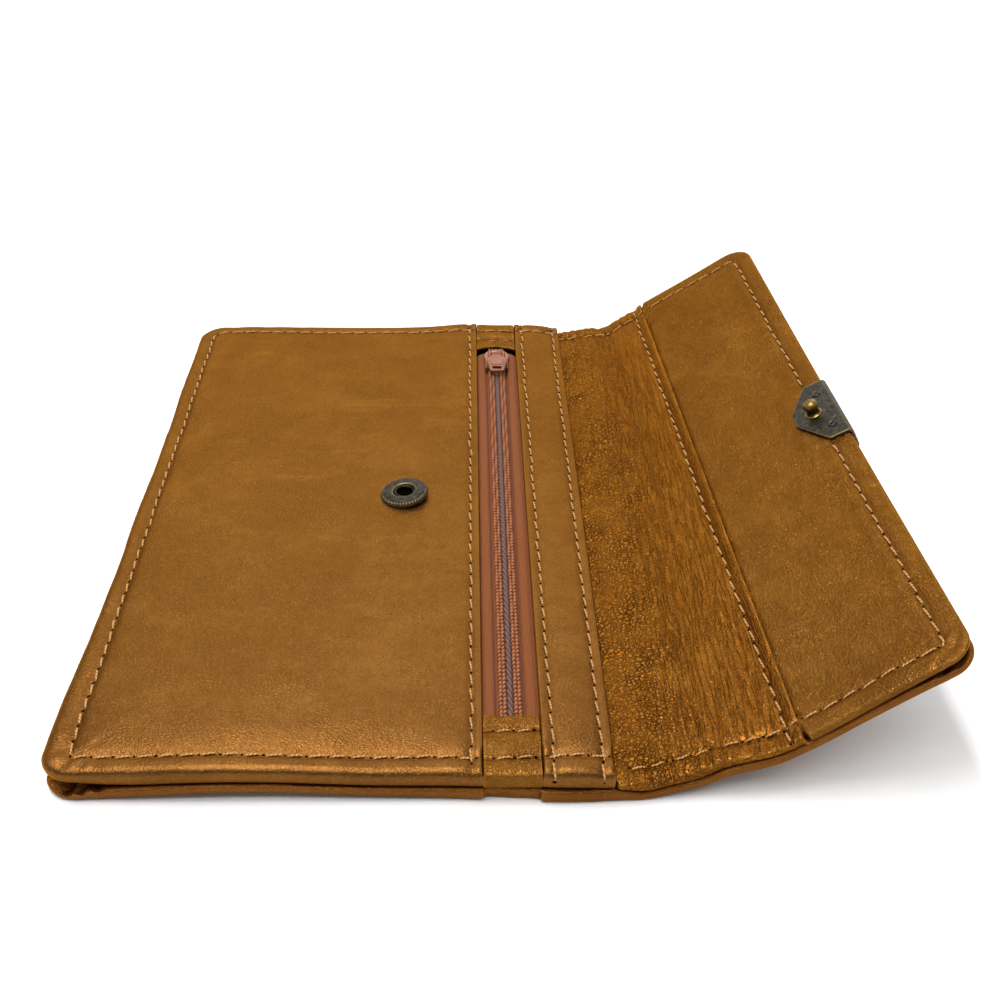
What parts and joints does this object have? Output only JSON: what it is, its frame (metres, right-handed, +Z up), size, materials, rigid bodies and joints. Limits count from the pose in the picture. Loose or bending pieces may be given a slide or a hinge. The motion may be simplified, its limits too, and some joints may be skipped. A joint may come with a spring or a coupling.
{
  "type": "long wallet",
  "caption": "Flat fold-over wallet with a zipped pocket, card slots and a flap that snaps shut over a ring socket.",
  "frame": {"origin": "middle of the body's underside, on the surface that the wallet lies on", "axes": "+X across the wallet towards the flap, +Y along its length towards the end where the slider rests, +Z up"},
  "size_m": [0.1839, 0.1926, 0.0365],
  "materials": {
    "shell_leather": "metallic tan leather, smooth",
    "panel_leather": "metallic tan leather, smooth, rubbed",
    "pocket_leather": "metallic tan leather, grained",
    "board": "bonded fibre board",
    "lining_cloth": "plain woven cloth",
    "zip_tape": "woven zip tape",
    "zip_coil": "nylon coil",
    "thread": "waxed twisted thread",
    "slider_metal": "painted die casting",
    "antique_brass": "antique brass, worn edges",
    "spring_steel": "drawn wire"
  },
  "bodies": {
    "body": {"shell_body": "shell_leather", "body_stiffener": "board", "card_slot_floor": "pocket_leather", "card_slot_lining": "lining_cloth", "zip_pocket_back": "lining_cloth", "zip_pocket_front": "lining_cloth", "left_panel": "panel_leather", "slot_band": "panel_leather", "zip_tab_front": "panel_leather", "zip_tab_rear": "panel_leather", "zip_tape_left": "zip_tape", "zip_tape_right": "zip_tape", "zip_coil_left": "zip_coil", "zip_coil_right": "zip_coil", "zip_bottom_stop": "slider_metal", "zip_top_stops": "slider_metal", "snap_socket": "antique_brass", "snap_spring": "spring_steel", "snap_backing": "antique_brass", "body_perimeter_thread": "thread", "panel_edge_thread": "thread", "band_threads": "thread", "tab_threads": "thread"},
    "slider": {"zip_slider": "slider_metal"},
    "pull": {"pull_tab": "slider_metal"},
    "spine": {"shell_spine": "shell_leather", "pocket_spine": "pocket_leather", "spine_threads": "thread"},
    "flap": {"shell_flap": "shell_leather", "flap_stiffener": "board", "flap_lining": "pocket_leather", "flap_pocket": "pocket_leather", "clasp_plate": "antique_brass", "clasp_stud": "antique_brass", "stud_back_cap": "antique_brass", "clasp_rivets": "antique_brass", "flap_perimeter_thread": "thread", "flap_pocket_thread": "thread"}
  },
  "joints": [
    {"name": "fold_lower", "type": "hinge", "parent": "body", "child": "spine", "pos_m": [0.0592, 0, 0.0015], "axis": [0.0262, -0.9997, 0], "range_deg": [-14.4, 73.9]},
    {"name": "fold_upper", "type": "hinge", "parent": "spine", "child": "flap", "pos_m": [0.07024, 0.00029, 0.00434], "axis": [0.0262, -0.9997, 0], "range_deg": [-14.4, 73.9]},
    {"name": "zip_slide", "type": "slide", "parent": "body", "child": "slider", "axis": [0, -1, 0], "range_m": [0, 0.14]},
    {"name": "pull_flip", "type": "hinge", "parent": "slider", "child": "pull", "pos_m": [0.0339, 0.075, 0.00985], "axis": [-1, 0, 0], "range_deg": [0, 182]}
  ],
  "couplings": [
    {"joint": "fold_lower", "follows": "fold_upper", "ratio": 1}
  ]
}
